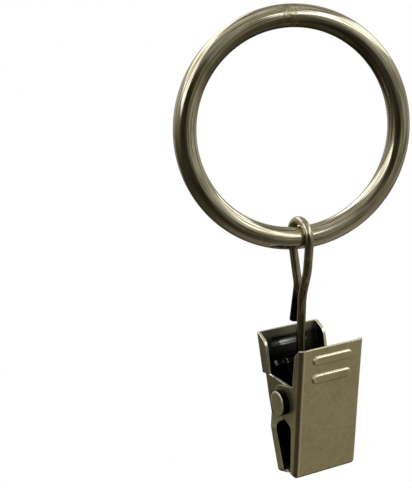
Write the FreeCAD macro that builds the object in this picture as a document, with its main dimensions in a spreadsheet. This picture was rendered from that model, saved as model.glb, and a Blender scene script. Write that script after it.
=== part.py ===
"""Curtain ring with clip: a round rod ring, a bent wire hook that slides on it, and a sprung sheet clip.

The origin is the centre of the ring, which stands in the XZ plane. The clip hangs below it, turned about Z.
"""
import FreeCAD, Part
import math
import os
import re
import Sketcher

# Driving dimensions, in millimetres and degrees
SIZES = {
    # Ring
    "ring_inner": 38.1,
    "ring_rod": 4.44,
    # How the hook and clip hang from the ring
    "hang_turn": 15.0,
    "pin_drop": 53.3,
    "pin_setback": 0.6,
    # Hook wire
    "wire": 1.75,
    "loop_clear": 0.235,
    "leg_lean": 7.5,
    "leg_crook": 9.1,
    "pinch_below": 9.73,
    "waist_below": 2.2,
    "pinch_gap": 0.15,
    "bend_radius": 3.0,
    "tail_reach": 4.4,
    "tail_drop": 38.7,
    # Pin
    "shaft": 2.0,
    "running_fit": 0.05,
    "head": 5.0,
    "head_rise": 1.35,
    "head_round": 0.3,
    # Sheet of both jaws
    "sheet": 0.6,
    "clip_width": 14.3,
    "clip_shift": 0.65,
    "ear_radius": 3.4,
    "ear_clear": 0.1,
    "ear_step": 0.9,
    "ear_fade": 2.7,
    "fold_radius": 0.85,
    "corner_radius": 2.0,
    "rim_start": 1.0,
    "rim_drop": 1.45,
    "neck_radius": 0.8,
    "throat_radius": 1.2,
    "plate_bend": 8.0,
    "grip_gap": 0.2,
    "grip_line": 0.5,
    "lip_slope": 0.2,
    # Front jaw, measured from the pin's axis
    "front_top_reach": 8.35,
    "front_top_height": 12.05,
    "front_knee_reach": 5.75,
    "front_knee_drop": 0.8,
    "front_bend_reach": 4.4,
    "front_bend_drop": 8.0,
    "front_tip_reach": 2.9,
    "front_tip_drop": 15.6,
    "front_rim_edge": 5.6,
    "front_neck_edge": 4.0,
    "front_neck_height": 3.95,
    "front_throat_edge": 2.6,
    "front_throat_drop": 4.75,
    "front_mouth_edge": 1.3,
    # Rear jaw, measured from the pin's axis
    "rear_top_reach": 9.4,
    "rear_top_height": 12.3,
    "rear_knee_reach": 7.4,
    "rear_knee_drop": 0.8,
    "rear_bend_reach": 5.55,
    "rear_bend_drop": 9.6,
    "rear_tip_reach": 4.05,
    "rear_tip_drop": 15.9,
    "rear_rim_edge": 5.85,
    "rear_neck_edge": 5.0,
    "rear_neck_height": 4.0,
    "rear_throat_edge": 3.6,
    "rear_throat_drop": 5.5,
    "rear_mouth_edge": 1.1,
    # Pressed ribs on both handles
    "rib_length": 8.9,
    "rib_width": 1.95,
    "rib_rise": 0.4,
    "rib_wall": 0.35,
    "rib_first": 2.55,
    "rib_pitch": 3.85,
    # Torsion spring
    "spring_wire": 0.8,
    "coil_clear": 0.2,
    "coil_pitch": 0.86,
    "coil_side_clear": 0.5,
    "eye_gap": 0.3,
    "spring_gap": 0.3,
    "front_leg_height": 7.1,
    "rear_leg_height": 6.7,
}

X_AXIS = FreeCAD.Vector(1, 0, 0)
Y_AXIS = FreeCAD.Vector(0, 1, 0)
Z_AXIS = FreeCAD.Vector(0, 0, 1)
# Edges are told apart by their place to within this distance
NEAR = 0.01
# A bent stretch of the plate stays this close to its straight runs
SOFT_BEND = 0.06
LEAST_TURN = 5
# The hook's leg crosses back below the pinch, and lies forward above it, by so many wire diameters
WAIST_CROSSING = 0.65
SHOULDER_REACH = 1.1
# Share of the way from the rod down to the pinch at which the leg turns upright
SHOULDER_SHARE = 0.67
# Share of a rib's rise that its rounded top edge takes
RIB_ROUNDING = 0.85
# A sketch turned this way has Y to the right, Z up and X towards the viewer
SIDE_VIEW = FreeCAD.Rotation(FreeCAD.Vector(1, 1, 1), 120)
# A sketch turned this way has X to the right, Z up and faces the front
FRONT_VIEW = FreeCAD.Rotation(X_AXIS, 90)


def formula(text):
    """Text with every size name pointed at its cell in the sheet."""

    def pointed(word):
        name = word.group()
        return "Sizes." + name if name in SIZES else name

    return re.sub(r"[a-z_]+", pointed, text)


def make_sheet(doc):
    sheet = doc.addObject("Spreadsheet::Sheet", "Sizes")
    for row, (name, value) in enumerate(SIZES.items(), start=1):
        sheet.set(f"A{row}", name)
        sheet.set(f"B{row}", str(value))
        sheet.setAlias(f"B{row}", name)
    doc.recompute()
    return sheet


def bind(thing, **formulas):
    """Tie properties to the sheet; a double underscore in a name stands for a dot."""
    for name, text in formulas.items():
        thing.setExpression(name.replace("__", "."), formula(text))


def origin_plane(body, role):
    return next(feature for feature in body.Origin.OriginFeatures if feature.Role == role)


def amount(thing, text):
    """Number that a formula gives now."""
    result = thing.evalExpression(formula(text))
    return getattr(result, "Value", result)


def hold(sketch, kind, *places, text):
    """Add a dimension to a sketch and tie it to the sheet."""
    number = sketch.addConstraint(Sketcher.Constraint(kind, *places, amount(sketch, text)))
    sketch.setExpression(f"Constraints[{number}]", formula(text))


def polygon(sketch, corners):
    """Closed outline; each corner is a pair of formulas, measured from the sketch's origin."""
    spots = [FreeCAD.Vector(amount(sketch, across), amount(sketch, up), 0) for across, up in corners]
    for start, end in zip(spots, spots[1:] + spots[:1]):
        sketch.addGeometry(Part.LineSegment(start, end))
    for index, (across, up) in enumerate(corners):
        sketch.addConstraint(Sketcher.Constraint("Coincident", index, 2, (index + 1) % len(corners), 1))
        hold(sketch, "DistanceX", -1, 1, index, 1, text=across)
        hold(sketch, "DistanceY", -1, 1, index, 1, text=up)


def sketch_at(doc, name, rotation, corners):
    sketch = doc.addObject("Sketcher::SketchObject", name)
    sketch.Placement = FreeCAD.Placement(FreeCAD.Vector(), rotation)
    polygon(sketch, corners)
    return sketch


def extrusion(doc, name, sketch, direction, depth):
    """Solid prism of a sketch, half of its depth to each side."""
    prism = doc.addObject("Part::Extrusion", name)
    prism.Base = sketch
    prism.DirMode = "Custom"
    prism.Dir = direction
    prism.Solid = True
    prism.Symmetric = True
    bind(prism, LengthFwd=depth)
    return prism


def across_pin(doc, name, radius, length):
    """Cylinder along the pin's axis, centred on the clip's middle."""
    cylinder = doc.addObject("Part::Cylinder", name)
    cylinder.Placement.Rotation = FreeCAD.Rotation(FreeCAD.Vector(0, 1, 0), 90)
    bind(cylinder, Radius=radius, Height=length, Placement__Base__x=f"clip_shift - ({length}) / 2")
    return cylinder


def joined(doc, name, kind, pieces):
    """Fuse or common of several objects."""
    result = doc.addObject(kind, name)
    result.Shapes = pieces
    return result


def cut(doc, name, base, tool):
    result = doc.addObject("Part::Cut", name)
    result.Base = base
    result.Tool = tool
    return result


def rounded(doc, name, base, choices):
    """Fillets; each choice is a test that picks edges, with the radius for them."""
    if not choices:
        return base
    doc.recompute()
    chosen = []
    for number, edge in enumerate(base.Shape.Edges, start=1):
        for picks, radius in choices:
            if picks(edge):
                chosen.append((number, radius, radius))
                break
    result = doc.addObject("Part::Fillet", name)
    result.Base = base
    result.Edges = chosen
    return result


def crosswise_at(across, up):
    """Test for an edge along the pin's direction through a point of the side view."""
    def picks(edge):
        middle = edge.CenterOfMass
        flat = abs(middle.y - across) < NEAR and abs(middle.z - up) < NEAR
        return flat and edge.BoundBox.XLength > NEAR
    return picks


def hang_from_ring(piece):
    """Turn a piece about the vertical through the ring's centre."""
    piece.Placement = FreeCAD.Placement(FreeCAD.Vector(), FreeCAD.Rotation(Z_AXIS, 1))
    bind(piece, Placement__Rotation__Angle="hang_turn")


def hang_on_pin(piece):
    """Put a piece whose own origin lies on the pin's axis in its place on the hanging clip."""
    hang_from_ring(piece)
    bind(
        piece,
        Placement__Base__x="pin_setback * sin(hang_turn)",
        Placement__Base__y="-pin_setback * cos(hang_turn)",
        Placement__Base__z="-pin_drop",
    )


def make_ring(doc):
    """Round rod bent to a full circle."""
    body = doc.addObject("PartDesign::Body", "ring")
    section = body.newObject("Sketcher::SketchObject", "ring_section")
    section.AttachmentSupport = [(origin_plane(body, "XY_Plane"), "")]
    section.MapMode = "FlatFace"
    centre = "(ring_inner + ring_rod) / 2"
    spot = FreeCAD.Vector(amount(section, centre), 0, 0)
    section.addGeometry(Part.Circle(spot, Z_AXIS, amount(section, "ring_rod / 2")))
    section.addConstraint(Sketcher.Constraint("PointOnObject", 0, 3, -1))
    hold(section, "DistanceX", -1, 1, 0, 3, text=centre)
    hold(section, "Diameter", 0, text="ring_rod")
    turn = body.newObject("PartDesign::Revolution", "ring_bend")
    turn.Profile = section
    turn.ReferenceAxis = (section, ["V_Axis"])
    turn.Angle = 360
    return body


def bent_wire_path(corners, radii):
    """Straight runs through the corners, joined by tangent arcs, as a list of edges."""
    edges = []
    start = corners[0]
    for index in range(1, len(corners) - 1):
        corner = corners[index]
        back = (corners[index - 1] - corner).normalize()
        ahead = (corners[index + 1] - corner).normalize()
        half = back.getAngle(ahead) / 2
        radius = radii[index - 1]
        enter = corner + back * (radius / math.tan(half))
        leave = corner + ahead * (radius / math.tan(half))
        middle = corner + (back + ahead).normalize() * (radius / math.sin(half) - radius)
        edges.append(Part.makeLine(start, enter))
        edges.append(Part.Arc(enter, middle, leave).toShape())
        start = leave
    edges.append(Part.makeLine(start, corners[-1]))
    return edges


def swept_wire(edges, diameter):
    """Round wire along a path of edges."""
    path = Part.Wire(edges)
    first = path.OrderedEdges[0]
    begin = path.OrderedVertexes[0].Point
    heading = first.tangentAt(first.FirstParameter)
    near_end = first.valueAt(first.FirstParameter)
    far_end = first.valueAt(first.LastParameter)
    if (near_end - begin).Length > (far_end - begin).Length:
        heading = -first.tangentAt(first.LastParameter)
    section = Part.Wire([Part.makeCircle(diameter / 2, begin, heading)])
    return path.makePipeShell([section], True, True)


def tangent_point(centre, radius, outside, side):
    """Where a line from a point outside a circle touches it; side +1 or -1 picks one of the two."""
    towards = outside - centre
    spread = math.acos(radius / towards.Length)
    angle = math.atan2(towards.z, towards.y) + side * spread
    return centre + FreeCAD.Vector(0, math.cos(angle), math.sin(angle)) * radius


def arc_about(centre, radius, first, last):
    """Arc in the side view from one angle to another, in degrees, counted from the rear upwards."""
    spots = []
    for share in (0, 0.5, 1):
        angle = math.radians(first + share * (last - first))
        spots.append(centre + FreeCAD.Vector(0, math.cos(angle), math.sin(angle)) * radius)
    return Part.Arc(*spots).toShape()


def angle_about(centre, spot):
    return math.degrees(math.atan2(spot.z - centre.z, spot.y - centre.y))


def make_hook(doc, size):
    """Wire with an eye round the pin, a leg, a drop-shaped loop round the ring's rod and a free tail."""
    pin = FreeCAD.Vector(0, -size.pin_setback, -size.pin_drop)
    eye_radius = size.shaft / 2 + size.running_fit + size.wire / 2
    rod = FreeCAD.Vector(0, 0, -(size.ring_inner + size.ring_rod) / 2)
    loop_radius = (size.ring_rod + size.wire) / 2 + size.loop_clear

    # The leg leaves the eye behind the pin, leans back, then crosses to the front of the loop
    leave_angle = math.radians(-size.leg_lean)
    eye_exit = pin + FreeCAD.Vector(0, math.cos(leave_angle), math.sin(leave_angle)) * eye_radius
    crook = eye_exit + FreeCAD.Vector(0, math.tan(math.radians(size.leg_lean)), 1) * size.leg_crook
    pinch = rod + FreeCAD.Vector(0, size.wire + size.pinch_gap, -size.pinch_below)
    waist = pinch + FreeCAD.Vector(0, -size.wire * WAIST_CROSSING - size.pinch_gap, -size.waist_below)
    shoulder = rod + FreeCAD.Vector(0, -size.wire * SHOULDER_REACH, -size.pinch_below * SHOULDER_SHARE)
    front_touch = tangent_point(rod, loop_radius, shoulder, -1)
    back_touch = tangent_point(rod, loop_radius, pinch, 1)
    tail = FreeCAD.Vector(0, size.tail_reach, -size.tail_drop)

    path = [arc_about(pin, eye_radius, -360 + 90, -size.leg_lean)]
    path += bent_wire_path([eye_exit, crook, waist, shoulder, front_touch], [size.bend_radius * 4] * 3)
    front_angle = angle_about(rod, front_touch) % 360
    back_angle = angle_about(rod, back_touch)
    path.append(arc_about(rod, loop_radius, front_angle, back_angle))
    path += bent_wire_path([back_touch, pinch, tail], [size.bend_radius])

    hook = doc.addObject("Part::Feature", "hook_wire")
    hook.Shape = swept_wire(path, size.wire)
    hang_from_ring(hook)
    return hook


def jaw_outline(jaw, side):
    """Side outline of a jaw's plate, flanges and lip, from the plate's top corner round by the flange."""
    towards, opposite = {"front": ("-", "+"), "rear": ("", "-")}[jaw]
    lip_edge = f"grip_line {side} grip_gap / 2"
    # The lip is square to the plate, so it rises away from the tip
    lip_rise = f"({jaw}_tip_reach {opposite} ({lip_edge})) * lip_slope"
    mouth_rise = f"({jaw}_tip_reach - {jaw}_mouth_edge) * lip_slope"
    return [
        (f"{towards}{jaw}_top_reach", f"{jaw}_top_height"),
        (f"{towards}({jaw}_top_reach - rim_start)", f"{jaw}_top_height"),
        (f"{towards}{jaw}_rim_edge", f"{jaw}_top_height - rim_drop"),
        (f"{towards}{jaw}_neck_edge", f"{jaw}_neck_height"),
        ("0", "ear_radius"),
        ("0", "-ear_radius"),
        (f"{towards}{jaw}_throat_edge", f"-{jaw}_throat_drop"),
        (f"{towards}{jaw}_mouth_edge", f"-{jaw}_tip_drop + sheet + {mouth_rise}"),
        (lip_edge, f"-{jaw}_tip_drop + sheet + {lip_rise}"),
        (lip_edge, f"-{jaw}_tip_drop + {lip_rise}"),
        (f"{towards}{jaw}_tip_reach", f"-{jaw}_tip_drop"),
        (f"{towards}{jaw}_bend_reach", f"-{jaw}_bend_drop"),
        (f"{towards}{jaw}_knee_reach", f"-{jaw}_knee_drop"),
    ]


def channel_outline(jaw):
    """Side outline of the space between a jaw's flanges, one sheet inside its plate and lip."""
    towards, inwards, away = {
        "front": ("-", "+", ""),
        "rear": ("", "-", "-"),
    }[jaw]
    slope = f"({jaw}_top_reach - {jaw}_knee_reach) / ({jaw}_top_height + {jaw}_knee_drop)"
    return [
        (f"{towards}({jaw}_top_reach + ({slope}) * sheet - sheet)", f"{jaw}_top_height + sheet"),
        (f"{away}{jaw}_top_reach", f"{jaw}_top_height + sheet"),
        (
            f"{away}{jaw}_top_reach",
            f"-{jaw}_tip_drop + sheet + ({jaw}_tip_reach + {jaw}_top_reach) * lip_slope",
        ),
        (
            f"{towards}{jaw}_tip_reach {inwards} sheet",
            f"-{jaw}_tip_drop + sheet + sheet * lip_slope",
        ),
        (f"{towards}{jaw}_bend_reach {inwards} sheet", f"-{jaw}_bend_drop"),
        (f"{towards}{jaw}_knee_reach {inwards} sheet", f"-{jaw}_knee_drop"),
    ]


def front_outline(jaw, ear_half, inset):
    """Outline from the front: full width at the handle and at the grip, ear width round the pin."""
    full = f"clip_width / 2 - {inset}"
    ear = f"{ear_half} - {inset}"
    heights = [
        (full, f"{jaw}_top_height + sheet * 2"),
        (full, "ear_radius + ear_step"),
        (ear, "ear_radius + ear_step / 2"),
        (ear, "-ear_radius - ear_step / 2"),
        (full, "-ear_radius - ear_step / 2 - ear_fade"),
        (full, f"-{jaw}_tip_drop - sheet * 2"),
    ]
    right = [(f"clip_shift + ({half})", height) for half, height in heights]
    left = [(f"clip_shift - ({half})", height) for half, height in reversed(heights)]
    return right + left


def pill(doc, name, length, width, rise):
    """Rounded bar lying along X, as high as its rise."""
    sketch = doc.addObject("Sketcher::SketchObject", name + "_line")
    half = f"({length} - ({width})) / 2"
    reach = amount(sketch, half)
    radius = amount(sketch, f"({width}) / 2")
    quarter = math.pi / 2
    for hand in (1, -1):
        circle = Part.Circle(FreeCAD.Vector(reach * hand, 0, 0), Z_AXIS, radius)
        sketch.addGeometry(Part.ArcOfCircle(circle, -hand * quarter, (2 - hand) * quarter))
    for hand in (1, -1):
        start = FreeCAD.Vector(reach * hand, radius * hand, 0)
        sketch.addGeometry(Part.LineSegment(start, FreeCAD.Vector(-reach * hand, radius * hand, 0)))
    for first, second in ((0, 2), (2, 1), (1, 3), (3, 0)):
        sketch.addConstraint(Sketcher.Constraint("Tangent", first, 2, second, 1))
    for arc, sign in ((0, ""), (1, "-")):
        sketch.addConstraint(Sketcher.Constraint("PointOnObject", arc, 3, -1))
        hold(sketch, "DistanceX", -1, 1, arc, 3, text=sign + half)
        hold(sketch, "Radius", arc, text=f"({width}) / 2")
    bar = extrusion(doc, name, sketch, Z_AXIS, rise)
    bar.Symmetric = False
    return bar


def place_on_handle(piece, jaw, row, depth):
    """Lay a rib flat on the handle's outer face, or below it by a depth, in the given row from the top."""
    lean = f"atan(({jaw}_top_reach - {jaw}_knee_reach) / ({jaw}_top_height + {jaw}_knee_drop))"
    down = f"(rib_first + {row} * rib_pitch)"
    out = f"({jaw}_top_reach - {down} * tan({lean}) - ({depth}) / cos({lean}))"
    if jaw == "front":
        piece.Placement.Rotation = FreeCAD.Rotation(X_AXIS, 91)
        bind(piece, Placement__Rotation__Angle=f"90 deg + {lean}", Placement__Base__y=f"-{out}")
    else:
        piece.Placement.Rotation = FreeCAD.Rotation(-X_AXIS, 91)
        bind(piece, Placement__Rotation__Angle=f"90 deg + {lean}", Placement__Base__y=out)
    bind(piece, Placement__Base__x="clip_shift", Placement__Base__z=f"{jaw}_top_height - {down}")


def plate_line(size, jaw, inset):
    """Points of a jaw's plate in the side view, from its top to its tip, an inset below the outer face."""
    toward = {"front": -1, "rear": 1}[jaw]
    spots = []
    for spot, sign in (("top", 1), ("knee", -1), ("bend", -1), ("tip", -1)):
        word = {"top": "height"}.get(spot, "drop")
        reach = getattr(size, f"{jaw}_{spot}_reach") - inset
        spots.append((toward * reach, sign * getattr(size, f"{jaw}_{spot}_{word}")))
    return spots


def plate_bends(spots, radius):
    """Roundings for the plate's bends; a turn under LEAST_TURN degrees is left as it is."""
    bends = []
    for upper, corner, lower in zip(spots, spots[1:], spots[2:]):
        above = math.degrees(math.atan2(corner[0] - upper[0], upper[1] - corner[1]))
        below = math.degrees(math.atan2(lower[0] - corner[0], corner[1] - lower[1]))
        if abs(below - above) > LEAST_TURN:
            bends.append((crosswise_at(*corner), radius))
    return bends


def along_plate(spots):
    """Test for an edge that follows the plate's line down one of its sides."""
    def picks(edge):
        if edge.BoundBox.ZLength < NEAR:
            return False
        middle = edge.valueAt((edge.FirstParameter + edge.LastParameter) / 2)
        for (y_upper, z_upper), (y_lower, z_lower) in zip(spots, spots[1:]):
            if z_lower <= middle.z <= z_upper:
                share = (z_upper - middle.z) / (z_upper - z_lower)
                return abs(y_upper + share * (y_lower - y_upper) - middle.y) < SOFT_BEND
        return False
    return picks


def make_jaw(doc, size, jaw, ear_half):
    """Folded sheet jaw: plate, flanges that widen into ears, and a lip at the tip."""
    side = {"front": "-", "rear": "+"}[jaw]
    toward = {"front": -1, "rear": 1}[jaw]
    width = "clip_width * 3"
    depth = f"({jaw}_top_reach + sheet) * 3"

    side_line = sketch_at(doc, jaw + "_side_line", SIDE_VIEW, jaw_outline(jaw, side))
    blank = extrusion(doc, jaw + "_side", side_line, X_AXIS, width)
    outer_line = plate_line(size, jaw, 0)
    rim = (toward * getattr(size, jaw + "_rim_edge"), getattr(size, jaw + "_top_height") - size.rim_drop)
    neck = (toward * getattr(size, jaw + "_neck_edge"), getattr(size, jaw + "_neck_height"))
    throat = (toward * getattr(size, jaw + "_throat_edge"), -getattr(size, jaw + "_throat_drop"))
    corners = plate_bends(outer_line, size.plate_bend) + [
        (crosswise_at(*outer_line[3]), size.fold_radius),
        (crosswise_at(*rim), size.corner_radius),
        (crosswise_at(*neck), size.neck_radius),
        (crosswise_at(*throat), size.throat_radius),
    ]
    soft_blank = rounded(doc, jaw + "_side_soft", blank, corners)
    ear = across_pin(doc, jaw + "_ear", "ear_radius", width)
    from_side = joined(doc, jaw + "_from_side", "Part::MultiFuse", [soft_blank, ear])
    from_side.Refine = True
    front_line = sketch_at(doc, jaw + "_front_line", FRONT_VIEW, front_outline(jaw, ear_half, "0"))
    from_front = extrusion(doc, jaw + "_front", front_line, Y_AXIS, depth)
    outer = joined(doc, jaw + "_outer", "Part::MultiCommon", [from_side, from_front])

    channel_line = sketch_at(doc, jaw + "_channel_line", SIDE_VIEW, channel_outline(jaw))
    channel = extrusion(doc, jaw + "_channel", channel_line, X_AXIS, width)
    inner_line = plate_line(size, jaw, size.sheet)
    soft_channel = rounded(doc, jaw + "_channel_soft", channel, plate_bends(inner_line, size.plate_bend))
    between_line = sketch_at(doc, jaw + "_between_line", FRONT_VIEW, front_outline(jaw, ear_half, "sheet"))
    between = extrusion(doc, jaw + "_between", between_line, Y_AXIS, depth)
    inner = joined(doc, jaw + "_inner", "Part::MultiCommon", [soft_channel, between])

    folded = cut(doc, jaw + "_folded", outer, inner)
    hole = across_pin(doc, jaw + "_hole", "shaft / 2 + running_fit", width)
    drilled = cut(doc, jaw + "_drilled", folded, hole)
    folds = [
        (along_plate(outer_line), size.fold_radius),
        (along_plate(inner_line), size.fold_radius - size.sheet),
    ]
    return rounded(doc, jaw + "_folds", drilled, folds)


def add_ribs(doc, size, jaw, sheet_part):
    """Press the ribs of a handle outwards: a raised pill outside and a smaller recess inside."""
    raised = []
    sunk = []
    for row in range(2):
        rib = pill(doc, f"{jaw}_rib_{row}", "rib_length", "rib_width", "rib_rise")
        soft = rounded(
            doc,
            f"{jaw}_rib_{row}_soft",
            rib,
            [(lambda edge: edge.BoundBox.ZMin > size.rib_rise - NEAR, size.rib_rise * RIB_ROUNDING)],
        )
        place_on_handle(soft, jaw, row, "0")
        raised.append(soft)
        inner_length = "rib_length - rib_wall * 2"
        inner_width = "rib_width - rib_wall * 2"
        hollow = pill(doc, f"{jaw}_hollow_{row}", inner_length, inner_width, "rib_rise + rib_wall")
        place_on_handle(hollow, jaw, row, "sheet + rib_wall")
        sunk.append(hollow)
    pressed = joined(doc, f"{jaw}_pressed", "Part::MultiFuse", [sheet_part] + raised)
    hollows = joined(doc, f"{jaw}_hollows", "Part::MultiFuse", sunk)
    return cut(doc, f"{jaw}_jaw", pressed, hollows)


def make_pin(doc):
    """Rivet: shaft through the ears with a flat round head at each end."""
    body = doc.addObject("PartDesign::Body", "pivot_pin")
    half = body.newObject("Sketcher::SketchObject", "pin_section")
    half.AttachmentSupport = [(origin_plane(body, "XY_Plane"), "")]
    half.MapMode = "FlatFace"
    under_left = "clip_shift - clip_width / 2 - running_fit"
    under_right = "clip_shift + clip_width / 2 + running_fit"
    polygon(
        half,
        [
            (f"{under_left} - head_rise", "0"),
            (f"{under_left} - head_rise", "head / 2"),
            (under_left, "head / 2"),
            (under_left, "shaft / 2"),
            (under_right, "shaft / 2"),
            (under_right, "head / 2"),
            (f"{under_right} + head_rise", "head / 2"),
            (f"{under_right} + head_rise", "0"),
        ],
    )
    turn = body.newObject("PartDesign::Revolution", "pin_turned")
    turn.Profile = half
    turn.ReferenceAxis = (half, ["H_Axis"])
    turn.Angle = 360
    doc.recompute()
    far = turn.Shape.BoundBox
    rims = []
    for number, edge in enumerate(turn.Shape.Edges, start=1):
        at_end = edge.BoundBox.XMin > far.XMax - 1e-6 or edge.BoundBox.XMax < far.XMin + 1e-6
        if at_end and isinstance(edge.Curve, Part.Circle):
            rims.append(f"Edge{number}")
    soft = body.newObject("PartDesign::Fillet", "head_rims")
    soft.Base = (turn, rims)
    bind(soft, Radius="head_round")
    hang_on_pin(body)
    return body


def plate_reach(size, jaw, height):
    """Distance from the pin's plane to the inner face of a jaw's handle, at a height above the pin."""
    reach = {spot: getattr(size, f"{jaw}_{spot}_reach") for spot in ("top", "knee")}
    top_height = getattr(size, f"{jaw}_top_height")
    knee_drop = getattr(size, f"{jaw}_knee_drop")
    share = (height + knee_drop) / (top_height + knee_drop)
    return reach["knee"] + share * (reach["top"] - reach["knee"]) - size.sheet


def half_spring_path(size):
    """Half of the spring's line: half its bridge, down a rear leg, round the coil and up a front leg."""
    axis = FreeCAD.Vector()
    radius = size.shaft / 2 + size.coil_clear + size.spring_wire / 2
    stand_off = size.spring_gap + size.spring_wire / 2
    rear_reach = plate_reach(size, "rear", size.rear_leg_height) - stand_off
    front_reach = plate_reach(size, "front", size.front_leg_height) - stand_off
    rear_target = FreeCAD.Vector(0, rear_reach, size.rear_leg_height)
    front_target = FreeCAD.Vector(0, -front_reach, size.front_leg_height)
    rear_angle = angle_about(axis, tangent_point(axis, radius, rear_target, -1))
    front_angle = angle_about(axis, tangent_point(axis, radius, front_target, 1))
    near = (size.wire + size.spring_wire) / 2 + size.eye_gap
    ear_face = size.clip_width / 2 - size.clip_shift - 2 * size.sheet - size.ear_clear
    far = ear_face - size.coil_side_clear - size.spring_wire / 2
    part_turn = (rear_angle - front_angle) % 360 / 360
    turns = part_turn + math.floor((far - near) / size.coil_pitch - part_turn)

    left_handed = True
    helix = Part.makeHelix(size.coil_pitch, size.coil_pitch * turns, radius, 0, left_handed)
    helix.rotate(axis, Z_AXIS, rear_angle)
    helix.rotate(axis, FreeCAD.Vector(1, 1, 1), 120)
    helix.translate(X_AXIS * near)
    first = helix.Edges[0]
    last = helix.Edges[-1]
    touch = first.valueAt(first.FirstParameter)
    enter = first.tangentAt(first.FirstParameter)
    leave = last.valueAt(last.LastParameter)
    away = last.tangentAt(last.LastParameter)
    corner = touch + enter * ((size.rear_leg_height - touch.z) / enter.z)
    front_end = leave + away * ((size.front_leg_height - leave.z) / away.z)
    middle = FreeCAD.Vector(0, corner.y, corner.z)
    path = bent_wire_path([middle, corner, touch], [size.spring_wire])
    return path + helix.Edges + [Part.makeLine(leave, front_end)]


def make_spring(doc, size):
    """Double torsion spring: a coil each side of the hook's eye, a rear bridge and two front legs."""
    half = half_spring_path(size)
    other_half = [edge.mirror(FreeCAD.Vector(), X_AXIS) for edge in half]
    spring = doc.addObject("Part::Feature", "torsion_spring")
    spring.Shape = swept_wire(Part.__sortEdges__(half + other_half), size.spring_wire)
    hang_on_pin(spring)
    return spring


def check_and_export(doc, parts):
    """Stop on anything that failed, then write each sub-part."""
    doc.recompute()
    for item in doc.Objects:
        if "Invalid" in item.State or "Error" in item.State:
            raise RuntimeError(f"{item.Label} failed: {item.State}")
    os.makedirs("parts", exist_ok=True)
    for part in parts:
        shape = part.Shape
        if shape.isNull() or not shape.isValid():
            raise RuntimeError(f"{part.Label} has no valid shape")
        print(part.Label, "solids", len(shape.Solids), "volume", round(shape.Volume, 2))
        shape.exportStep(f"parts/{part.Label}.step")


def main():
    doc = FreeCAD.newDocument("curtain_ring_with_clip")
    size = make_sheet(doc)
    parts = [make_ring(doc), make_hook(doc, size)]
    for jaw, ear_half in (("front", "clip_width / 2"), ("rear", "clip_width / 2 - sheet - ear_clear")):
        jaw_part = add_ribs(doc, size, jaw, make_jaw(doc, size, jaw, ear_half))
        hang_on_pin(jaw_part)
        jaw_part.Label = jaw + "_jaw"
        parts.append(jaw_part)
    parts.append(make_pin(doc))
    parts.append(make_spring(doc, size))
    check_and_export(doc, parts)


main()
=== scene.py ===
import math

import bpy
from mathutils import Matrix, Vector


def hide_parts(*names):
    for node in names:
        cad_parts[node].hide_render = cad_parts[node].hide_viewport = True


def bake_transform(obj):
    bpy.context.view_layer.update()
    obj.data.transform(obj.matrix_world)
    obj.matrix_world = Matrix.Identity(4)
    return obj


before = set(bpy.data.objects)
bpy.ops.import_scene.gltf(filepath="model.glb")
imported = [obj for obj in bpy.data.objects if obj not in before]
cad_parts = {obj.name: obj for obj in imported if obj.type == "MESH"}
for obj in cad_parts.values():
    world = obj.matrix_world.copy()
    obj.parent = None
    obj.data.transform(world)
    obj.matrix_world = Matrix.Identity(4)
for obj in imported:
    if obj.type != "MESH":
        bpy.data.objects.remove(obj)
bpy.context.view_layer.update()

MM = 0.001

# Settings that many nodes share: a range that eases in and out, and a mix of two colours
SMOOTH = {"interpolation_type": "SMOOTHSTEP"}
COLOURS = {"data_type": "RGBA"}

# The middle of the clip's pin, in mm, and how far the hanging clip is turned about the vertical
PIN_PLACE = Vector((0.1553, -0.5796, -53.3))
HANG_TURN = math.radians(15)
# The middle of the clip's width, which lies off the pin's middle along the pin's axis
CLIP_SHIFT = 0.65
CLIP_MIDDLE = PIN_PLACE + Vector((math.cos(HANG_TURN), math.sin(HANG_TURN), 0)) * CLIP_SHIFT
# Heights of the ribs' middles above the pin, on the rear handle, and how far below them the painted glints lie
RIB_HEIGHTS = (9.75, 5.9)
GLINT_BELOW = 0.5

# The ring's middle circle, in mm
RING_RADIUS = 21.27

# How high the finishes' relief stands, in mm; pressed or pitted relief is below zero
BRUSHED_RELIEF = 0.004
WELD_RELIEF = -0.014
DRAWN_RELIEF = 0.006
SHEET_RELIEF = 0.006
TROUGH_RELIEF = -0.3
RIVET_RELIEF = 0.015
SPRING_RELIEF = 0.01

# How wide a rubbed edge and the round of a fold look on the sheet, in mm
RUBBED_EDGE = 0.3
FOLD_ROUND = 1.3

# The torsion spring, in mm from the pin: its wire, its coils and the heights of its legs' ends
SPRING_WIRE = 0.8
COIL_RADIUS = 1.6
COIL_START = 1.575
COIL_PITCH = 0.86
COIL_TURNS = 2
FRONT_LEG_END = Vector((0, -6.05, 7.1))
REAR_LEG_END = Vector((0, 7.25, 6.7))
POINTS_A_TURN = 24
LEG_STEPS = 12

# Camera: its place in mm, its turn, tilt and roll in degrees, its lens and sensor in mm, and how far its
# picture is shifted, as shares of the picture's width
CAMERA_PLACE = Vector((-62.4, -219.2, 25.4))
CAMERA_TURN = -15.47
CAMERA_TILT = 11.72
CAMERA_ROLL = -3.31
CAMERA_LENS = 88.15
CAMERA_SENSOR = 36
CAMERA_SHIFT = (-0.1762, -0.0061)

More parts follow.
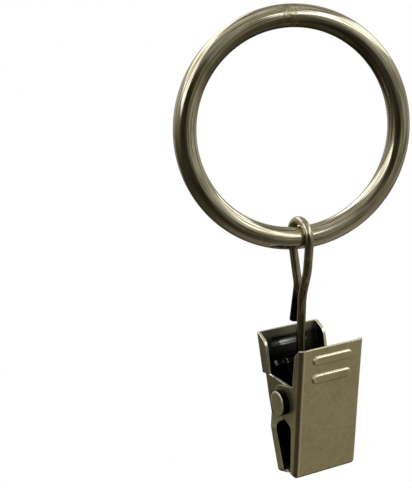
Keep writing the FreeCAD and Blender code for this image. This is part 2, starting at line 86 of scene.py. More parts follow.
# How bright the room is at each height, in degrees, to each side: the front is where the camera stands
RIGHT_LEVELS = [(-90, 0.2), (-60, 0.29), (-35, 0.24), (-15, 0.34),
                (5, 0.5), (16, 0.7), (40, 0.4), (90, 0.6)]
LEFT_LEVELS = [(-90, 0.16), (-55, 0.06), (-25, 0.045), (-8, 0.12),
               (5, 0.3), (15, 0.5), (50, 0.4), (90, 0.65)]
FRONT_LEVELS = [(-90, 0.2), (-55, 0.15), (-25, 0.045), (0, 0.032),
                (12, 0.05), (25, 0.13), (48, 0.17), (90, 0.65)]
BEHIND_LEVELS = [(-90, 0.14), (-45, 0.04), (-27, 0.06), (-14, 0.34),
                 (0, 0.52), (18, 0.62), (50, 0.3), (90, 0.6)]
FRONT_WAY = Vector((-0.469, -0.883, 0))
BEHIND_WAY = Vector((0.139, 0.99, 0))

# Lamps: turn, height and slant in degrees, distance and size in metres, and how bright. They aim at one
# place, in mm
LAMP_AIM = Vector((0, 0, -20))
LAMP_COLOUR = "#e9edff"
LAMPS = {
    "left_strip": {"turn": -106, "height": 45, "slant": -14, "distance": 0.5,
                   "length": 1.5, "width": 0.3, "level": 2.2},
    "right_strip": {"turn": 66, "height": 38, "slant": 0, "distance": 0.5,
                    "length": 1.15, "width": 0.22, "level": 2.15},
}


def linear(code):
    """The colour that Blender works with, from an sRGB hex code."""
    values = [int(code[place:place + 2], 16) / 255 for place in (1, 3, 5)]
    return [v / 12.92 if v <= 0.04045 else ((v + 0.055) / 1.055) ** 2.4 for v in values] + [1.0]


def add(tree, kind, settings, *links):
    """Adds a node with its settings and links.

    A setting names a property, or a socket by its place in the node's list; a link is a socket and what feeds
    it. So 1 to 4 are a range's ends before and after, 6 and 7 a mix's colours, and 2 and 3 a noise's scale and
    detail.
    """
    node = tree.nodes.new(kind)
    for name, value in settings.items():
        if isinstance(name, str):
            setattr(node, name, value)
        else:
            node.inputs[name].default_value = value
    for socket, source in links:
        if isinstance(source, bpy.types.Node):
            source = next(outlet for outlet in source.outputs if outlet.enabled)
        tree.links.new(source, node.inputs[socket])
    return node


def set_stops(ramp, stops):
    """Gives a colour ramp its stops, pairs of place and colour."""
    elements = ramp.color_ramp.elements
    while len(elements) < len(stops):
        elements.new(0.5)
    for element, (place, colour) in zip(elements, stops):
        element.position = place
        element.color = linear(colour) if isinstance(colour, str) else colour
    return ramp


def new_finish(name):
    """A material whose nodes are still to come."""
    material = bpy.data.materials.new(name)
    material.use_nodes = True
    material.node_tree.nodes.clear()
    return material


def finish_with(tree, colour, roughness, height, edge):
    """The metal itself: edges softened over so many mm, the relief's height in mm, then the shader."""
    soft_edge = add(tree, "ShaderNodeBevel", {"samples": 8, 0: edge * MM})
    relief = add(tree, "ShaderNodeBump", {0: 1.0, 1: MM}, ("Height", height), ("Normal", soft_edge))
    metal = add(tree, "ShaderNodeBsdfPrincipled", {1: 1.0}, (0, colour), (2, roughness), ("Normal", relief))
    add(tree, "ShaderNodeOutputMaterial", {}, (0, metal))


def rod_finish():
    """Antique brass plated on steel rod, darkened, brushed along it and lacquered: long streaky bands."""
    material = new_finish("antique_brass_brushed_rod")
    tree = material.node_tree
    coords = add(tree, "ShaderNodeTexCoord", {}).outputs
    place = add(tree, "ShaderNodeVectorMath", {"operation": "SCALE", 3: 1 / MM}, (0, coords["Object"]))
    facing = add(tree, "ShaderNodeSeparateXYZ", {}, (0, coords["Normal"])).outputs
    axes = add(tree, "ShaderNodeSeparateXYZ", {}, (0, place)).outputs
    downward = add(tree, "ShaderNodeMath", {"operation": "MULTIPLY", 1: -1.0}, (0, axes[2]))
    turn = add(tree, "ShaderNodeMath", {"operation": "ARCTAN2"}, (0, axes[0]), (1, downward))
    along = add(tree, "ShaderNodeMath", {"operation": "MULTIPLY", 1: RING_RADIUS}, (0, turn))
    flat = add(tree, "ShaderNodeCombineXYZ", {}, (0, axes[0]), (1, axes[2]))
    outward = add(tree, "ShaderNodeVectorMath", {"operation": "LENGTH"}, (0, flat))

    # Brush lines: 0.02 mm on the real rod, drawn 0.18 mm wide and 9 mm long to show at this size
    stretched = add(tree, "ShaderNodeMath", {"operation": "MULTIPLY", 1: 0.02}, (0, along))
    brushed = add(tree, "ShaderNodeCombineXYZ", {}, (0, stretched), (1, outward), (2, axes[1]))
    lines = add(tree, "ShaderNodeTexNoise", {2: 1 / 0.18, 3: 2.0}, (0, brushed)).outputs[0]
    # Worn patches, 5 mm wide as on the real ring
    patches = add(tree, "ShaderNodeTexNoise", {2: 1 / 5.0, 3: 3.0}, (0, place)).outputs[0]

    # The butt weld at the ring's top, ground over: about 3 mm long, its edge ragged, its faint pits 0.6 mm wide
    pits = add(tree, "ShaderNodeTexNoise", {2: 1 / 0.6, 3: 3.0}, (0, place)).outputs[0]
    ragged = add(tree, "ShaderNodeMath", {"operation": "MULTIPLY", 1: 3.0}, (0, pits))
    way_round = add(tree, "ShaderNodeMath", {"operation": "ABSOLUTE"}, (0, along))
    reach = add(tree, "ShaderNodeMath", {"operation": "ADD"}, (0, way_round), (1, ragged))
    half_round = RING_RADIUS * math.pi
    weld = add(tree, "ShaderNodeMapRange", {**SMOOTH, 1: half_round - 1.0, 2: half_round + 1.0}, (0, reach))
    pitted = add(tree, "ShaderNodeMapRange", {**SMOOTH, 1: 0.45, 2: 0.62}, (0, pits))
    rough_weld = add(tree, "ShaderNodeMath", {"operation": "MULTIPLY"}, (0, weld), (1, pitted))

    streaks = set_stops(add(tree, "ShaderNodeValToRGB", {}, (0, lines)),
                        [(0.37, "#7d7354"), (0.49, "#b5ac8c"), (0.62, "#dcd7c2")])
    worn_share = add(tree, "ShaderNodeMapRange", {1: 0.5, 2: 0.75, 3: 0.0, 4: 0.5}, (0, patches))
    worn = add(tree, "ShaderNodeMix", {**COLOURS, 7: linear("#7d7252")}, (0, worn_share), (6, streaks))

    # Painted light: painted shade on the upper half's inner side, and a painted highlight on the lowest part's
    # underside
    underside = add(tree, "ShaderNodeMapRange", {**SMOOTH, 1: 0.0, 2: -0.6}, (0, facing[2]))
    upper = add(tree, "ShaderNodeMapRange", {**SMOOTH, 1: -4.0, 2: 12.0, 3: 0.0, 4: 0.75}, (0, axes[2]))
    lowest = add(tree, "ShaderNodeMapRange", {**SMOOTH, 1: -8.0, 2: -19.0, 3: 0.0, 4: 0.8}, (0, axes[2]))
    painted_shade_share = add(tree, "ShaderNodeMath", {"operation": "MULTIPLY"}, (0, underside), (1, upper))
    painted_highlight_share = add(tree, "ShaderNodeMath", {"operation": "MULTIPLY"}, (0, underside), (1, lowest))
    # Painted shade, dark brown, on the upper half's inner side
    upper_inside_shaded = add(tree, "ShaderNodeMix", {**COLOURS, 7: linear("#4a4129")}, (0, painted_shade_share), (6, worn))
    # Painted highlight, near white, on the lowest part's underside
    painted_highlight_and_wear = add(tree, "ShaderNodeMix", {**COLOURS, 7: linear("#f2ebd3")}, (0, painted_highlight_share), (6, upper_inside_shaded))
    scorched = add(tree, "ShaderNodeMix", {**COLOURS, 7: linear("#9a906f")}, (0, rough_weld), (6, painted_highlight_and_wear))
    satin = add(tree, "ShaderNodeMapRange", {1: 0.3, 2: 0.7, 3: 0.1, 4: 0.18}, (0, lines))
    roughness = add(tree, "ShaderNodeMath", {"operation": "MULTIPLY_ADD", 1: 0.08}, (0, weld), (2, satin))
    fine = add(tree, "ShaderNodeMath", {"operation": "MULTIPLY", 1: BRUSHED_RELIEF}, (0, lines))
    height = add(tree, "ShaderNodeMath", {"operation": "MULTIPLY_ADD", 1: WELD_RELIEF},
                 (0, rough_weld), (2, fine))
    finish_with(tree, scorched, roughness, height, 0.1)
    return material


def wire_finish():
    """Antique brass plated on drawn steel wire: lines along it, darker towards the bottom and in clouds, with
    painted shade on the tail.
    """
    material = new_finish("antique_brass_drawn_wire")
    tree = material.node_tree
    coords = add(tree, "ShaderNodeTexCoord", {}).outputs["Object"]
    place = add(tree, "ShaderNodeVectorMath", {"operation": "SCALE", 3: 1 / MM}, (0, coords))
    axes = add(tree, "ShaderNodeSeparateXYZ", {}, (0, place)).outputs

    # Drawing lines: 0.02 mm on the real wire, drawn 0.22 mm wide and 5.5 mm long to show
    drawn = add(tree, "ShaderNodeVectorMath", {"operation": "MULTIPLY", 1: (1.0, 1.0, 0.04)}, (0, place))
    lines = add(tree, "ShaderNodeTexNoise", {2: 1 / 0.22, 3: 2.0}, (0, drawn)).outputs[0]
    # Clouds in the plating, 2.5 mm wide as on the real wire
    patches = add(tree, "ShaderNodeTexNoise", {2: 1 / 2.5, 3: 2.0}, (0, place)).outputs[0]
    streaks = set_stops(add(tree, "ShaderNodeValToRGB", {}, (0, lines)), [(0.3, "#958b70"), (0.7, "#cac2a6")])
    # Darker towards the bottom
    lower = add(tree, "ShaderNodeMapRange", {**SMOOTH, 1: -36.0, 2: -24.0, 3: 0.55, 4: 0.0}, (0, axes[2]))
    cloudy = add(tree, "ShaderNodeMapRange", {1: 0.5, 2: 0.8, 3: 0.0, 4: 0.5}, (0, patches))
    darker_share = add(tree, "ShaderNodeMath", {"operation": "MAXIMUM"}, (0, lower), (1, cloudy))
    darkened = add(tree, "ShaderNodeMix", {**COLOURS, 7: linear("#6a5d41")}, (0, darker_share), (6, streaks))

    # Painted shade, nearly black, on the tail behind the leg, from just under the ring downwards
    tail = add(tree, "ShaderNodeMapRange", {**SMOOTH, 1: 1.0, 2: 2.0}, (0, axes[1]))
    tail_height = add(tree, "ShaderNodeMapRange", {1: -20.0, 2: -40.0}, (0, axes[2]))
    tail_low = set_stops(add(tree, "ShaderNodeValToRGB", {}, (0, tail_height)),
                         [(0.1, "#000000"), (0.17, "#909090"), (0.5, "#a0a0a0"), (0.7, "#ffffff")])
    painted_tail_shade = add(tree, "ShaderNodeMath", {"operation": "MULTIPLY"}, (0, tail), (1, tail_low))
    # Painted shade on the tail
    with_painted_shade = add(tree, "ShaderNodeMix", {**COLOURS, 7: linear("#1c1914")}, (0, painted_tail_shade), (6, darkened))
    satin = add(tree, "ShaderNodeMapRange", {1: 0.3, 2: 0.7, 3: 0.12, 4: 0.24}, (0, lines))
    roughness = add(tree, "ShaderNodeMath", {"operation": "MULTIPLY_ADD", 1: 0.25}, (0, lower), (2, satin))
    height = add(tree, "ShaderNodeMath", {"operation": "MULTIPLY", 1: DRAWN_RELIEF}, (0, lines))
    finish_with(tree, with_painted_shade, roughness, height, 0.1)
    return material


def clip_place(tree):
    """Place in mm and facing, in the clip's frame: x along the pin from its middle, y to the rear, z up."""
    coords = add(tree, "ShaderNodeTexCoord", {})
    turned = {"vector_type": "TEXTURE", 2: (0, 0, HANG_TURN)}
    place = add(tree, "ShaderNodeMapping", {**turned, 1: CLIP_MIDDLE * MM, 3: (MM, MM, MM)},
                (0, coords.outputs["Object"]))
    facing = add(tree, "ShaderNodeMapping", turned, (0, coords.outputs["Normal"]))
    return place, facing


def sheet_finish():
    """Antique brass plated on stamped steel sheet: satin outside, bright along rubbed edges, with painted
    highlights on upward ridges and along folds, painted shade on flanges, folds and downward faces, and painted
    black shade inside with painted glints.
    """
    material = new_finish("antique_brass_stamped_sheet")
    tree = material.node_tree
    place, facing = clip_place(tree)
    spot = add(tree, "ShaderNodeSeparateXYZ", {}, (0, place)).outputs
    face = add(tree, "ShaderNodeSeparateXYZ", {}, (0, facing)).outputs

    # Rolling grain: 0.02 mm on the real sheet, drawn 0.25 mm wide and 3 mm long
    rolled = add(tree, "ShaderNodeVectorMath", {"operation": "MULTIPLY", 1: (1.0, 1.0, 0.08)}, (0, place))
    grain = add(tree, "ShaderNodeTexNoise", {2: 1 / 0.25, 3: 2.0}, (0, rolled)).outputs[0]
    # Mottling 1.1 mm wide and stains 6 mm wide, as on the real sheet
    mottle = add(tree, "ShaderNodeTexNoise", {2: 1 / 1.1, 3: 3.0}, (0, place)).outputs[0]
    patches = add(tree, "ShaderNodeTexNoise", {2: 1 / 6.0, 3: 2.0}, (0, place)).outputs[0]

    # The inner faces look towards the pin's axis; the flanges stand nearer together round the pin
    across = add(tree, "ShaderNodeMath", {"operation": "MULTIPLY"}, (0, spot[0]), (1, face[0]))
    through = add(tree, "ShaderNodeMath", {"operation": "MULTIPLY"}, (0, spot[1]), (1, face[1]))
    inner_side = add(tree, "ShaderNodeMapRange", {1: -2.0, 2: -3.5}, (0, across))
    from_middle = add(tree, "ShaderNodeMath", {"operation": "ABSOLUTE"}, (0, spot[0]))
    above = add(tree, "ShaderNodeMapRange", {1: 3.9, 2: 4.3, 3: 5.75, 4: 6.45}, (0, spot[2]))
    below = add(tree, "ShaderNodeMapRange", {1: -4.6, 2: -6.0, 3: 5.75, 4: 7.3}, (0, spot[2]))
    inner_width = add(tree, "ShaderNodeMath", {"operation": "MAXIMUM"}, (0, above), (1, below))
    within = add(tree, "ShaderNodeMath", {"operation": "LESS_THAN"}, (0, from_middle), (1, inner_width))
    inwards = add(tree, "ShaderNodeMapRange", {1: -0.3, 2: -1.2}, (0, through))
    inner_plate = add(tree, "ShaderNodeMath", {"operation": "MULTIPLY"}, (0, inwards), (1, within))
    inside = add(tree, "ShaderNodeMath", {"operation": "MAXIMUM"}, (0, inner_side), (1, inner_plate))
    # Painted shade inside the clip: near black, a little lighter near the rear handle's top edge
    inner_depth = add(tree, "ShaderNodeMapRange", {**SMOOTH, 1: 10.2, 2: 11.2, 3: 1.0, 4: 0.83}, (0, spot[2]))
    painted_inner_shade = add(tree, "ShaderNodeMath", {"operation": "MULTIPLY"}, (0, inside), (1, inner_depth))

    # Edges are rubbed through to bright metal; ridges that look upwards and the line along a fold get a painted
    # highlight
    edge = add(tree, "ShaderNodeBevel", {"samples": 12, 0: RUBBED_EDGE * MM})
    own = add(tree, "ShaderNodeNewGeometry", {})
    agree = add(tree, "ShaderNodeVectorMath", {"operation": "DOT_PRODUCT"},
                (0, edge), (1, own.outputs["Normal"]))
    worn_edge = add(tree, "ShaderNodeMapRange", {**SMOOTH, 1: 0.97, 2: 0.85}, (0, agree))
    handled = add(tree, "ShaderNodeMapRange", {1: -5.0, 2: -3.0, 3: 0.1, 4: 0.85}, (0, spot[2]))
    rounding = add(tree, "ShaderNodeMath", {"operation": "MULTIPLY"}, (0, worn_edge), (1, handled))
    upward = add(tree, "ShaderNodeMapRange", {**SMOOTH, 1: 0.03, 2: 0.35, 3: 0.0, 4: 0.7}, (0, face[2]))
    # Painted shade on faces that look downwards
    downward = add(tree, "ShaderNodeMapRange", {**SMOOTH, 1: -0.32, 2: -0.6, 3: 0.0, 4: 0.7}, (0, face[2]))

    # A wide soft edge, turned back into the clip's frame, tells how near a fold is and on which side of it
    wide_edge = add(tree, "ShaderNodeBevel", {"samples": 12, 0: FOLD_ROUND * MM})
    unposed = add(tree, "ShaderNodeVectorTransform", {"vector_type": "NORMAL"}, (0, wide_edge))
    turned = add(tree, "ShaderNodeMapping", {"vector_type": "TEXTURE", 2: (0, 0, HANG_TURN)}, (0, unposed))
    wide = add(tree, "ShaderNodeSeparateXYZ", {}, (0, turned)).outputs
    wide_sideways = add(tree, "ShaderNodeMath", {"operation": "ABSOLUTE"}, (0, wide[0]))
    near_fold = set_stops(add(tree, "ShaderNodeValToRGB", {}, (0, wide_sideways)),
                          [(0.12, "#000000"), (0.2, "#ffffff"), (0.28, "#ffffff"), (0.4, "#000000")])
    through_wide = add(tree, "ShaderNodeMath", {"operation": "MULTIPLY"}, (0, wide[0]), (1, wide[1]))
    jaw_side = add(tree, "ShaderNodeMath", {"operation": "SIGN"}, (0, spot[1]))
    folding = add(tree, "ShaderNodeMath", {"operation": "MULTIPLY"}, (0, through_wide), (1, jaw_side))
    bent = add(tree, "ShaderNodeMath", {"operation": "MULTIPLY", 1: -1.0}, (0, folding))
    outer = add(tree, "ShaderNodeMath", {"operation": "GREATER_THAN", 1: 0.02}, (0, bent))
    painted_fold_highlight = add(tree, "ShaderNodeMath", {"operation": "MULTIPLY"}, (0, near_fold), (1, outer))

    # The flanges look sideways; the painted highlight goes on the plates' upward ridges
    sideways = add(tree, "ShaderNodeMath", {"operation": "ABSOLUTE"}, (0, face[0]))
    aside = add(tree, "ShaderNodeMapRange", {**SMOOTH, 1: 0.7, 2: 0.95}, (0, sideways))
    lengthwise = add(tree, "ShaderNodeMath", {"operation": "SUBTRACT", 0: 1.0}, (1, aside))
    painted_ridge_highlight = add(tree, "ShaderNodeMath", {"operation": "MULTIPLY"}, (0, upward), (1, lengthwise))
    worn_edges_and_ridge_highlights = add(tree, "ShaderNodeMath", {"operation": "MAXIMUM"}, (0, rounding), (1, painted_ridge_highlight))
    painted_highlight_and_wear = add(tree, "ShaderNodeMath", {"operation": "MAXIMUM"}, (0, worn_edges_and_ridge_highlights), (1, painted_fold_highlight))

    # Painted brown shade in the folds
    creasing = add(tree, "ShaderNodeMapRange", {**SMOOTH, 1: 0.05, 2: 0.25, 3: 0.0, 4: 0.8}, (0, bent))
    past_line = add(tree, "ShaderNodeMapRange", {**SMOOTH, 1: 0.3, 2: 0.45}, (0, wide_sideways))
    painted_fold_shade = add(tree, "ShaderNodeMath", {"operation": "MULTIPLY"}, (0, creasing), (1, past_line))

    # Painted shade on the flanges, less on the front one's lower end
    lower_front = add(tree, "ShaderNodeMath", {"operation": "MULTIPLY_ADD", 1: 1.5},
                      (0, spot[1]), (2, spot[2]))
    flange_shade_share = add(tree, "ShaderNodeMapRange", {1: -12.0, 2: 0.0, 3: 0.0, 4: 0.7}, (0, lower_front))
    high = add(tree, "ShaderNodeMapRange", {1: -8.0, 2: -4.5, 3: 0.35, 4: 1.0}, (0, spot[2]))
    upper_flange_shade = add(tree, "ShaderNodeMath", {"operation": "MULTIPLY"}, (0, flange_shade_share), (1, high))
    painted_flange_shade = add(tree, "ShaderNodeMath", {"operation": "MULTIPLY"}, (0, aside), (1, upper_flange_shade))

    # The troughs behind the ribs, pressed softly inwards from the rear
    trough = None
    for height in RIB_HEIGHTS:
        off = add(tree, "ShaderNodeMath", {"operation": "SUBTRACT", 1: height}, (0, spot[2]))
        apart = add(tree, "ShaderNodeMath", {"operation": "ABSOLUTE"}, (0, off))
        dip = add(tree, "ShaderNodeMapRange", {**SMOOTH, 1: 0.1, 2: 1.0, 3: TROUGH_RELIEF, 4: 0.0},
                  (0, apart))
        trough = dip if trough is None else add(tree, "ShaderNodeMath", {"operation": "ADD"},
                                                (0, trough), (1, dip))
    rib_length = add(tree, "ShaderNodeMapRange", {**SMOOTH, 1: 4.4, 2: 3.8}, (0, from_middle))
    pressed = add(tree, "ShaderNodeMath", {"operation": "MULTIPLY"}, (0, trough), (1, rib_length))
    inner_relief = add(tree, "ShaderNodeMath", {"operation": "MULTIPLY"}, (0, pressed), (1, inner_plate))

    # Painted highlights below each trough's middle, where its lower slope would catch the light: along the
    # upper one, and in two spots on the lower
    stretch = add(tree, "ShaderNodeMapRange", {1: -4.5, 2: 4.5}, (0, spot[0]))
    glint_bars = None
    for height, stops in zip(RIB_HEIGHTS, (
            [(0.23, "#000000"), (0.3, "#ffffff"), (0.65, "#808080"), (0.8, "#000000")],
            [(0.06, "#000000"), (0.08, "#ffffff"), (0.12, "#ffffff"), (0.15, "#000000"), (0.29, "#000000"),
             (0.32, "#ffffff"), (0.38, "#ffffff"), (0.42, "#000000")])):
        off = add(tree, "ShaderNodeMath", {"operation": "SUBTRACT", 1: height - GLINT_BELOW}, (0, spot[2]))
        apart = add(tree, "ShaderNodeMath", {"operation": "ABSOLUTE"}, (0, off))
        band = add(tree, "ShaderNodeMapRange", {**SMOOTH, 1: 0.65, 2: 0.4}, (0, apart))
        spots = set_stops(add(tree, "ShaderNodeValToRGB", {}, (0, stretch)), stops)
        bar = add(tree, "ShaderNodeMath", {"operation": "MULTIPLY"}, (0, band), (1, spots))
        glint_bars = bar if glint_bars is None else add(tree, "ShaderNodeMath", {"operation": "ADD"},
                                                      (0, glint_bars), (1, bar))
    painted_glints = add(tree, "ShaderNodeMath", {"operation": "MULTIPLY"}, (0, glint_bars), (1, inner_plate))

    steel = set_stops(add(tree, "ShaderNodeValToRGB", {}, (0, grain)), [(0.3, "#d6cc9d"), (0.7, "#e6ddb1")])
    cloudy = add(tree, "ShaderNodeMapRange", {1: 0.45, 2: 0.7, 3: 0.0, 4: 0.3}, (0, mottle))
    clouded = add(tree, "ShaderNodeMix", {**COLOURS, 7: linear("#b4aa80")}, (0, cloudy), (6, steel))
    stained = add(tree, "ShaderNodeMapRange", {1: 0.5, 2: 0.75, 3: 0.0, 4: 0.25}, (0, patches))
    shaded = add(tree, "ShaderNodeMix", {**COLOURS, 7: linear("#9b926f")}, (0, stained), (6, clouded))
    # Painted shade on the sideways-looking flanges
    flange_shaded = add(tree, "ShaderNodeMix", {**COLOURS, 7: linear("#4a4331")}, (0, painted_flange_shade), (6, shaded))
    # Painted brown shade in the folds
    fold_shaded = add(tree, "ShaderNodeMix", {**COLOURS, 7: linear("#9c8558")}, (0, painted_fold_shade), (6, flange_shaded))
    # Painted shade on faces that look downwards
    underside_shaded = add(tree, "ShaderNodeMix", {**COLOURS, 7: linear("#4b4530")}, (0, downward), (6, fold_shaded))
    # Painted highlight on upward ridges and along folds, with rubbed edges
    bright = add(tree, "ShaderNodeMix", {**COLOURS, 7: linear("#f8f0d8")}, (0, painted_highlight_and_wear), (6, underside_shaded))
    # Painted shade inside: blacker deeper down, greyer towards the top
    shallow = add(tree, "ShaderNodeMapRange", {**SMOOTH, 1: 6.0, 2: 9.5}, (0, spot[2]))
    inner_shade_tones = add(tree, "ShaderNodeMix", {**COLOURS, 6: linear("#15130f"), 7: linear("#37372f")}, (0, shallow))
    # Painted glints on the painted black shade
    shade_with_glints = add(tree, "ShaderNodeMix", {**COLOURS, 7: linear("#85877f")}, (0, painted_glints), (6, inner_shade_tones))
    with_painted_shade = add(tree, "ShaderNodeMix", COLOURS, (0, painted_inner_shade), (6, bright), (7, shade_with_glints))
    satin = add(tree, "ShaderNodeMapRange", {1: 0.3, 2: 0.7, 3: 0.34, 4: 0.44}, (0, mottle))
    smoother = add(tree, "ShaderNodeMath", {"operation": "MULTIPLY_ADD", 1: -0.18}, (0, worn_edges_and_ridge_highlights), (2, satin))
    roughness = add(tree, "ShaderNodeMath", {"operation": "MULTIPLY_ADD", 1: 0.3},
                    (0, painted_fold_highlight), (2, smoother))
    texture = add(tree, "ShaderNodeMath", {"operation": "ADD"}, (0, grain), (1, mottle))
    height = add(tree, "ShaderNodeMath", {"operation": "MULTIPLY_ADD", 1: SHEET_RELIEF},
                 (0, texture), (2, inner_relief))
    finish_with(tree, with_painted_shade, roughness, height, 0.2)
    return material


def rivet_finish():
    """Antique brass plated on a headed steel rivet: a faintly dimpled pressed face, its rim rubbed bright, its
    side wall with painted black shade.
    """
    material = new_finish("antique_brass_pressed_rivet")
    tree = material.node_tree
    place, _ = clip_place(tree)
    spot = add(tree, "ShaderNodeSeparateXYZ", {}, (0, place)).outputs
    flat = add(tree, "ShaderNodeCombineXYZ", {}, (0, spot[1]), (1, spot[2]))
    off_axis = add(tree, "ShaderNodeVectorMath", {"operation": "LENGTH"}, (0, flat))
    # Dimples 0.7 mm wide, as pressed
    dimples = add(tree, "ShaderNodeTexNoise", {2: 1 / 0.7, 3: 2.0}, (0, place)).outputs[0]
    steel = set_stops(add(tree, "ShaderNodeValToRGB", {}, (0, dimples)),
                      [(0.35, "#b1a77f"), (0.65, "#cdc397")])
    rim_share = add(tree, "ShaderNodeMapRange", {**SMOOTH, 1: 1.9, 2: 2.25, 3: 0.0, 4: 0.8}, (0, off_axis))
    rim = add(tree, "ShaderNodeMix", {**COLOURS, 7: linear("#efe7c8")}, (0, rim_share), (6, steel))
    # Painted shade: the head's side wall near black
    painted_side_shade = add(tree, "ShaderNodeMapRange", {**SMOOTH, 1: 2.38, 2: 2.46}, (0, off_axis))
    side_wall_shaded = add(tree, "ShaderNodeMix", {**COLOURS, 7: linear("#15120d")}, (0, painted_side_shade), (6, rim))
    satin = add(tree, "ShaderNodeMapRange", {1: 0.3, 2: 0.7, 3: 0.26, 4: 0.36}, (0, dimples))
    roughness = add(tree, "ShaderNodeMath", {"operation": "MULTIPLY_ADD", 1: 0.2}, (0, rim_share), (2, satin))
    height = add(tree, "ShaderNodeMath", {"operation": "MULTIPLY", 1: RIVET_RELIEF}, (0, dimples))
    finish_with(tree, side_wall_shaded, roughness, height, 0.1)
    return material


def spring_finish():
    """Hardened spring wire, painted near black as the shade inside the clip: a dull, faintly mottled sheen, its
    spots 0.3 mm wide.
    """
    material = new_finish("spring_wire_painted_black_as_shade")
    tree = material.node_tree
    place, _ = clip_place(tree)
    mottle = add(tree, "ShaderNodeTexNoise", {2: 1 / 0.3, 3: 2.0}, (0, place)).outputs[0]
    # Painted shade: the spring near black, so it sinks into the shade inside the clip
    steel = set_stops(add(tree, "ShaderNodeValToRGB", {}, (0, mottle)), [(0.3, "#0b0a09"), (0.7, "#131210")])
    roughness = add(tree, "ShaderNodeMapRange", {1: 0.3, 2: 0.7, 3: 0.5, 4: 0.6}, (0, mottle))
    height = add(tree, "ShaderNodeMath", {"operation": "MULTIPLY", 1: SPRING_RELIEF}, (0, mottle))
    finish_with(tree, steel, roughness, height, 0.1)
    return material


def tangent_angle(end, side):
    """Angle on the coil, from the rear upwards, where a straight leg to a leg's end leaves it."""
    return math.atan2(end.z, end.y) + side * math.acos(COIL_RADIUS / end.length)


def on_coil(angle):
    """Place on the coil's circle round the pin, in mm, at an angle from the rear upwards."""
    return Vector((0, math.cos(angle), math.sin(angle))) * COIL_RADIUS


def spring_lines():
    """The spring's rear wire, bridge and both coils, and its two front legs, as rows of points in mm."""
    rear = tangent_angle(REAR_LEG_END, -1)
    front = tangent_angle(FRONT_LEG_END, 1)
    wound = 2 * math.pi * COIL_TURNS + (rear - front) % (2 * math.pi)
    steps = round(wound / (2 * math.pi) * POINTS_A_TURN)
    coil = []
    for step in range(steps + 1):
        share = step / steps
        out = COIL_START + COIL_PITCH * wound / (2 * math.pi) * share
        coil.append(on_coil(rear - wound * share) + Vector((out, 0, 0)))
    corner = Vector((COIL_START, REAR_LEG_END.y, REAR_LEG_END.z))
    half = [corner] + coil
    mirrored = [Vector((-p.x, p.y, p.z)) for p in reversed(half)]
    last = coil[-1]
    leg_end = Vector((last.x, FRONT_LEG_END.y, FRONT_LEG_END.z))
    leg = [last.lerp(leg_end, step / LEG_STEPS) for step in range(LEG_STEPS + 1)]
    return mirrored + half, leg, [Vector((-p.x, p.y, p.z)) for p in leg]


def wire_mesh(name, lines):
    """Round spring wire along rows of points given in the clip's frame, as one mesh in the part's frame."""
    curve = bpy.data.curves.new(name, "CURVE")
    curve.dimensions = "3D"
    curve.bevel_depth = SPRING_WIRE / 2 * MM
    curve.bevel_resolution = 3
    curve.use_fill_caps = True
    hung = Matrix.Translation(PIN_PLACE) @ Matrix.Rotation(HANG_TURN, 4, "Z")
    for line in lines:
        spline = curve.splines.new("POLY")
        spline.points.add(len(line) - 1)
        for point, place in zip(spline.points, line):
            point.co = (*(hung @ place * MM), 1)
    bent = bpy.data.objects.new(name + "_line", curve)
    bpy.context.scene.collection.objects.link(bent)
    bpy.context.view_layer.update()
    mesh = bpy.data.meshes.new_from_object(bent.evaluated_get(bpy.context.evaluated_depsgraph_get()))
    bpy.data.objects.remove(bent)
    for face in mesh.polygons:
        face.use_smooth = True
    piece = bpy.data.objects.new(name, mesh)
    bpy.context.scene.collection.objects.link(piece)
    return piece


def dress_spring(finish):
    """The spring as two meshes, its coils with the rear wire and its front legs, in place of the CAD spring,
    which is hidden.
    """
    rear_wire, *front_legs = spring_lines()
    coils = wire_mesh("spring_coils", [rear_wire])
    legs = wire_mesh("spring_front_legs", front_legs)
    for piece, jaw in ((coils, "rear_jaw"), (legs, "front_jaw")):
        piece.data.materials.clear()
        piece.data.materials.append(finish)
        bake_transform(piece)
    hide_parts("torsion_spring")


def aim_camera():
    """The photo's camera, as fitted to the ring's outline and the clip's corners."""
    turn, tilt, roll = (math.radians(angle) for angle in (CAMERA_TURN, CAMERA_TILT, CAMERA_ROLL))
    right = Vector((math.cos(turn), math.sin(turn), 0))
    back = Vector((math.sin(turn) * math.cos(tilt), -math.cos(turn) * math.cos(tilt), math.sin(tilt)))
    up = back.cross(right)
    rolled_right = right * math.cos(roll) + up * math.sin(roll)
    rolled_up = up * math.cos(roll) - right * math.sin(roll)
    lens = bpy.data.cameras.new("camera")
    lens.lens = CAMERA_LENS
    lens.sensor_width = CAMERA_SENSOR
    lens.shift_x, lens.shift_y = CAMERA_SHIFT
    lens.clip_start = 0.01
    lens.clip_end = 10
    camera = bpy.data.objects.new("camera", lens)
    camera.matrix_world = Matrix.Translation(CAMERA_PLACE * MM) @ Matrix(
        (rolled_right, rolled_up, back)).transposed().to_4x4()
    bpy.context.scene.collection.objects.link(camera)
    bpy.context.scene.camera = camera


def room_stops(levels):
    """A ramp's stops for how bright a side of the room is at each height; its dimmer parts are browner."""
    stops = []
    for angle, level in levels:
        place = (math.sin(math.radians(angle)) + 1) / 2
        grey = min(1, level * 2)
        stops.append((place, (level, level * (0.86 + 0.14 * grey), level * (0.62 + 0.34 * grey), 1)))
    return stops


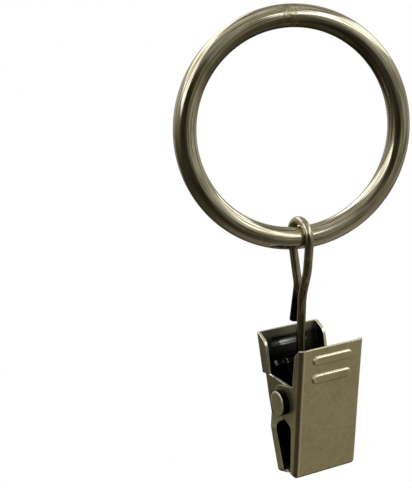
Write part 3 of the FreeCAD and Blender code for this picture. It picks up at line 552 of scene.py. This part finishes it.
def light_room():
    """A plain grey room, dark where the camera stands, with a white backdrop behind the part."""
    world = bpy.data.worlds.new("studio")
    bpy.context.scene.world = world
    world.use_nodes = True
    tree = world.node_tree
    tree.nodes.clear()
    direction = add(tree, "ShaderNodeTexCoord", {}).outputs["Generated"]
    axes = add(tree, "ShaderNodeSeparateXYZ", {}, (0, direction)).outputs
    height = add(tree, "ShaderNodeMapRange", {1: -1.0, 2: 1.0}, (0, axes[2]))
    right, left, front, behind = (
        set_stops(add(tree, "ShaderNodeValToRGB", {}, (0, height)), room_stops(levels))
        for levels in (RIGHT_LEVELS, LEFT_LEVELS, FRONT_LEVELS, BEHIND_LEVELS))
    to_right = add(tree, "ShaderNodeMapRange", {**SMOOTH, 1: -0.1, 2: 0.8}, (0, axes[0]))
    to_front = add(tree, "ShaderNodeVectorMath", {"operation": "DOT_PRODUCT", 1: FRONT_WAY}, (0, direction))
    front_share = add(tree, "ShaderNodeMapRange", {**SMOOTH, 1: 0.75, 2: 0.96}, (0, to_front))
    to_behind = add(tree, "ShaderNodeVectorMath", {"operation": "DOT_PRODUCT", 1: BEHIND_WAY}, (0, direction))
    behind_share = add(tree, "ShaderNodeMapRange", {**SMOOTH, 1: 0.25, 2: 0.75}, (0, to_behind))
    sides = add(tree, "ShaderNodeMix", COLOURS, (0, to_right), (6, left), (7, right))
    ahead = add(tree, "ShaderNodeMix", COLOURS, (0, front_share), (6, sides), (7, front))
    around = add(tree, "ShaderNodeMix", COLOURS, (0, behind_share), (6, ahead), (7, behind))
    room = add(tree, "ShaderNodeBackground", {1: 1.0}, (0, around))
    white = add(tree, "ShaderNodeBackground", {0: (1, 1, 1, 1), 1: 1.0})

    # The white backdrop: seen directly, and in the metal where the metal faces it
    path = add(tree, "ShaderNodeLightPath", {}).outputs
    backdrop = add(tree, "ShaderNodeMapRange", {**SMOOTH, 1: 0.9, 2: 0.99, 3: 0.0, 4: 0.2}, (0, to_behind))
    mirrored = add(tree, "ShaderNodeMath", {"operation": "MULTIPLY"},
                   (0, path["Is Glossy Ray"]), (1, backdrop))
    direct = add(tree, "ShaderNodeMath", {"operation": "MAXIMUM"}, (0, path["Is Camera Ray"]),
                 (1, path["Is Transmission Ray"]))
    seen = add(tree, "ShaderNodeMath", {"operation": "MAXIMUM"}, (0, direct), (1, mirrored))
    shown = add(tree, "ShaderNodeMixShader", {}, (0, seen), (1, room), (2, white))
    add(tree, "ShaderNodeOutputWorld", {}, (0, shown))


def hang_strip(name, turn, height, slant, distance, length, width, level):
    """A long diffuser lamp, seen from the part at a turn and height, its long side slanted."""
    turn, height, slant = (math.radians(angle) for angle in (turn, height, slant))
    away = Vector((math.sin(turn) * math.cos(height), -math.cos(turn) * math.cos(height), math.sin(height)))
    level_side = Vector((math.cos(turn), math.sin(turn), 0))
    along = level_side * math.cos(slant) + away.cross(level_side) * math.sin(slant)
    light = bpy.data.lights.new(name, "AREA")
    light.shape = "RECTANGLE"
    light.size = length
    light.size_y = width
    light.energy = level * math.pi * length * width
    light.color = linear(LAMP_COLOUR)[:3]
    lamp = bpy.data.objects.new(name, light)
    lamp.matrix_world = Matrix.Translation(away * distance + LAMP_AIM * MM) @ Matrix(
        (along, away.cross(along), away)).transposed().to_4x4()
    lamp.visible_camera = False
    bpy.context.scene.collection.objects.link(lamp)


def main():
    finishes = {
        "ring": rod_finish(),
        "hook_wire": wire_finish(),
        "front_jaw": sheet_finish(),
        "pivot_pin": rivet_finish(),
        "torsion_spring": spring_finish(),
    }
    finishes["rear_jaw"] = finishes["front_jaw"]
    for node, finish in finishes.items():
        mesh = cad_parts[node].data
        mesh.materials.clear()
        mesh.materials.append(finish)
    dress_spring(finishes["torsion_spring"])
    aim_camera()
    light_room()
    for name, facts in LAMPS.items():
        hang_strip(name, **facts)
    bpy.context.scene.view_settings.view_transform = "Standard"


main()
